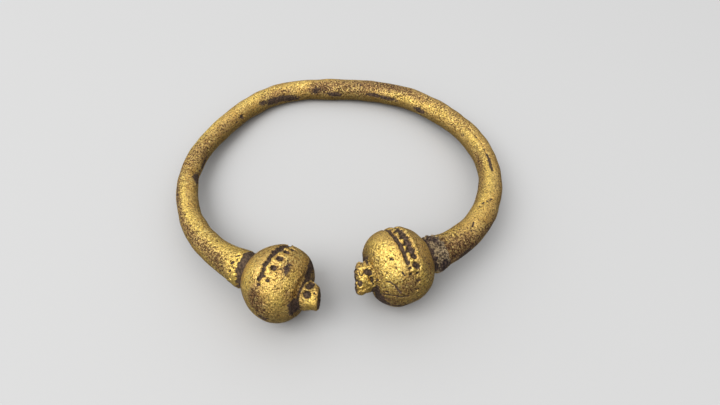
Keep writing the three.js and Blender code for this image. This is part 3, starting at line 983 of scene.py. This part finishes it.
# Brown of worn gilding, also used as painted shade on the underside of the rod
BARE_BROWN_AND_SHADE = srgb(166, 132, 98)
DARK_GRAIN = srgb(120, 86, 46)
LIGHT_GRAIN = srgb(255, 230, 143)
DUST = srgb(112, 74, 50)
SPECKLE = srgb(66, 40, 34)
DARK_CRUST = srgb(48, 40, 36)
PALE_CRUST = srgb(164, 144, 112)
# Patina in the hollows; the same colours paint the shade along the rims of the rod
BLACK_PATINA_AND_SHADE = srgb(30, 22, 26)
BROWN_PATINA_AND_SHADE = srgb(98, 76, 64)
METAL = (0.88, 0.15)
ROUGHNESS = (0.28, 0.48)
PATINA_ROUGHER = 0.2
BROWN_ROUGHER = 0.12
GRAIN_HEIGHT = 0.00025
gilt = bpy.data.materials.new("gilt_bronze")
gilt.use_nodes = True
tree = gilt.node_tree
object_place = tree.nodes.new("ShaderNodeTexCoord").outputs["Object"]
mapping = add_node(tree, "ShaderNodeMapping", {"Vector": object_place, "Scale": (1 / MM, 1 / MM, 1 / MM)})
place_in_mm = mapping.outputs["Vector"]


def field(name):
    """One of the fields that the mesh stores."""
    return add_node(tree, "ShaderNodeAttribute", {}, attribute_name=name).outputs["Fac"]


def noise(scale, detail=3, roughness=0.6):
    """Noise with about that many bumps in a millimetre."""
    inputs = dict(Vector=place_in_mm, Scale=scale, Detail=detail, Roughness=roughness)
    return add_node(tree, "ShaderNodeTexNoise", inputs).outputs["Fac"]


def layer(where, scale, spread, edge, softness):
    """The ragged mask of a layer that lies roughly where the first value is above the edge."""
    inputs = dict(Where=where, Vector=place_in_mm, Scale=scale, Spread=spread, Edge=edge, Softness=softness)
    return add_node(tree, "ShaderNodeGroup", inputs, node_tree=RAGGED).outputs["Mask"]


def mix_colour(factor, below, above):
    """The colour above over the one below. The colour inputs of this node are numbers 6 and 7."""
    return add_node(tree, "ShaderNodeMix", {0: factor, 6: below, 7: above}, data_type="RGBA").outputs[2]


def scaled(value, factor):
    """One value times another."""
    return calculate(tree, "MULTIPLY", value, factor)


# Patina, and painted shade along the rims of the rod
dark_mask = layer(field("dark"), 1.9, 1.2, 0.5, 0.16)
# Worn gilding, and painted shade on the underside of the rod
brown_wear_and_shade_mask = layer(field("brown_wear_and_shade"), 1.8, 2.0, 0.5, 0.25)
# Gold rubbed on the raised grains, and painted highlights
rubbed_and_highlight_mask = layer(field("rubbed_and_highlight"), 1.0, 1.2, 0.5, 0.4)
crust_mask = layer(field("crust"), 1.8, 0.8, 0.42, 0.2)
speckle = layer(scaled(field("brown_wear_and_shade"), 0.17), 2.8, 1.4, 0.15, 0.06)
dust = layer(scaled(field("brown_wear_and_shade"), 0.1), 3.4, 1.4, 0.08, 0.06)
coarse_places = in_range(tree, noise(0.16, 2, 0.5), 0.44, 0.58, 0.35, 1.0)
coarse_places = calculate(tree, "MAXIMUM", coarse_places, field("brown_wear_and_shade"))
dark_grain = scaled(in_range(tree, noise(2.7, 2, 0.6), 0.56, 0.41), coarse_places)
light_grain = scaled(in_range(tree, noise(2.1, 2, 0.7), 0.53, 0.63), coarse_places)
crust_colour = mix_colour(in_range(tree, noise(2.4, 3, 0.7), 0.43, 0.58), DARK_CRUST, PALE_CRUST)
# Patina colours, which also paint the shade along the rims of the rod
patina_and_shade_colour = mix_colour(in_range(tree, noise(2.4, 3, 0.7), 0.44, 0.66), BLACK_PATINA_AND_SHADE, BROWN_PATINA_AND_SHADE)

colour = mix_colour(in_range(tree, noise(0.28), 0.38, 0.62), RED_GOLD, YELLOW_GOLD)
for mask, strength, above in (
    (rubbed_and_highlight_mask, 0.75, RUBBED_GOLD_AND_HIGHLIGHT),
    (brown_wear_and_shade_mask, 0.66, BARE_BROWN_AND_SHADE),
    (dark_grain, 0.52, DARK_GRAIN),
    (light_grain, 0.7, LIGHT_GRAIN),
    (dust, 0.5, DUST),
    (speckle, 0.84, SPECKLE),
    (crust_mask, 0.92, crust_colour),
    (dark_mask, 0.96, patina_and_shade_colour),
):
    colour = mix_colour(scaled(mask, strength), colour, above)

covered = calculate(tree, "MAXIMUM", dark_mask, crust_mask)
metallic = in_range(tree, covered, 0, 1, *METAL)
rough = in_range(tree, noise(1.3), 0.3, 0.7, *ROUGHNESS)
rough = calculate(tree, "ADD", rough, scaled(covered, PATINA_ROUGHER))
rough = calculate(tree, "ADD", rough, scaled(brown_wear_and_shade_mask, BROWN_ROUGHER))
height = calculate(tree, "ADD", noise(3.0, 3, 0.6), scaled(noise(0.9), 0.4))
height = calculate(tree, "SUBTRACT", height, scaled(speckle, 0.35))
grain = add_node(tree, "ShaderNodeBump", {"Strength": 1.0, "Distance": GRAIN_HEIGHT, "Height": height})
feed(tree, tree.nodes["Principled BSDF"], {
    "Base Color": colour, "Specular IOR Level": 0.25, "Metallic": metallic, "Roughness": rough,
    "Normal": grain.outputs["Normal"],
})
mesh.materials.append(gilt)

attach(bracelet, "root")
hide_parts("bracelet")
print("nodes in the gilt bronze:", len(tree.nodes))

# %% [markdown]
# The stage: a plain pale floor with a painted shadow that darkens it close to the bracelet, a dome of
# soft light that is brightest overhead and brighter on the left than on the right, and one soft lamp
# above, in front and to the left.
# Metal shows what is around it, so the dome is dim near the horizon, where the sides of the rod reflect it.
# The camera itself sees the dome as plain pale.

# %% Floor
HALF_FLOOR = 4.0
PAPER_GREY_SHADOWED_TO_OPEN = (0.345, 0.436)
PAINTED_SHADOW_REACH = 0.04
floor_mesh = bpy.data.meshes.new("floor")
corners = [(x * HALF_FLOOR, y * HALF_FLOOR, 0) for x, y in ((-1, -1), (1, -1), (1, 1), (-1, 1))]
floor_mesh.from_pydata(corners, [], [(0, 1, 2, 3)])
floor = bpy.data.objects.new("floor", floor_mesh)
bpy.context.scene.collection.objects.link(floor)
paper = bpy.data.materials.new("paper")
paper.use_nodes = True
paper_tree = paper.node_tree
# Painted shadow: the floor's grey falls from the open value to the shadowed one where the bracelet is near
painted_shadow_occlusion = add_node(paper_tree, "ShaderNodeAmbientOcclusion", {"Distance": PAINTED_SHADOW_REACH}, samples=8)
shade = in_range(paper_tree, painted_shadow_occlusion.outputs["AO"], 0, 1, *PAPER_GREY_SHADOWED_TO_OPEN)
paper_inputs = {"Base Color": shade, "Roughness": 0.9, "Specular IOR Level": 0.0}
feed(paper_tree, paper_tree.nodes["Principled BSDF"], paper_inputs)
floor_mesh.materials.append(paper)
floor.visible_glossy = False

# %% Light
DIMMEST_AT = -0.12
LOW_TO_OVERHEAD = (0.1, 1.66)
LEFT_TO_RIGHT = (1.3, 0.7)
SEEN_DOME = 0.72
LAMP_SIZE = 0.9
LAMP_POWER = 8.5
LAMP_PLACE = Vector((-0.57, -0.35, 0.92))
world = bpy.data.worlds.new("dome")
bpy.context.scene.world = world
world.use_nodes = True
sky = world.node_tree
direction = sky.nodes.new("ShaderNodeTexCoord").outputs["Generated"]
split = add_node(sky, "ShaderNodeSeparateXYZ", {0: direction}).outputs
by_height = in_range(sky, split["Z"], DIMMEST_AT, 1, *LOW_TO_OVERHEAD)
by_side = in_range(sky, split["X"], -1, 1, *LEFT_TO_RIGHT)
lit = calculate(sky, "MULTIPLY", by_height, by_side)
camera_ray = sky.nodes.new("ShaderNodeLightPath").outputs["Is Camera Ray"]
choose = add_node(sky, "ShaderNodeMix", {"Factor": camera_ray, "A": lit, "B": SEEN_DOME}, data_type="FLOAT")
feed(sky, sky.nodes["Background"], {"Color": (1, 1, 1, 1), "Strength": choose.outputs["Result"]})

lamp_data = bpy.data.lights.new("soft_lamp", "AREA")
lamp_data.shape = "DISK"
lamp_data.size = LAMP_SIZE
lamp_data.energy = LAMP_POWER
lamp = bpy.data.objects.new("soft_lamp", lamp_data)
lamp.location = LAMP_PLACE
lamp.rotation_euler = (-LAMP_PLACE).to_track_quat("-Z", "Y").to_euler()
bpy.context.scene.collection.objects.link(lamp)

# %% [markdown]
# The camera looks down at the opening from about 11 cm away, a little right of the middle. Its place was
# worked out for the bracelet before it was laid down, so it is turned and lifted with it.

# %% Camera
CAMERA_PLACE = (4.43, -80.71, 76.19)
LOOKING_DOWN = 46.65
PIXELS_WIDE = 720
FOCAL_PIXELS = 488.9
SENSOR_WIDTH = 36
CLIP = (0.001, 100)
camera_data = bpy.data.cameras.new("camera")
camera_data.sensor_width = SENSOR_WIDTH
camera_data.lens = SENSOR_WIDTH * FOCAL_PIXELS / PIXELS_WIDE
camera_data.clip_start, camera_data.clip_end = CLIP
camera = bpy.data.objects.new("camera", camera_data)
bpy.context.scene.collection.objects.link(camera)
tilt = Matrix.Rotation(np.radians(90 - LOOKING_DOWN), 4, "X")
stand = Matrix.Translation(Vector(CAMERA_PLACE) * MM)
raised = Matrix.Translation((0, 0, lift * MM))
camera.matrix_world = raised @ turn.to_matrix().to_4x4() @ stand @ tilt
bpy.context.scene.camera = camera
bpy.context.scene.view_settings.view_transform = "Standard"
bpy.context.scene.view_settings.look = "None"

# %% Finish
bpy.context.view_layer.update()
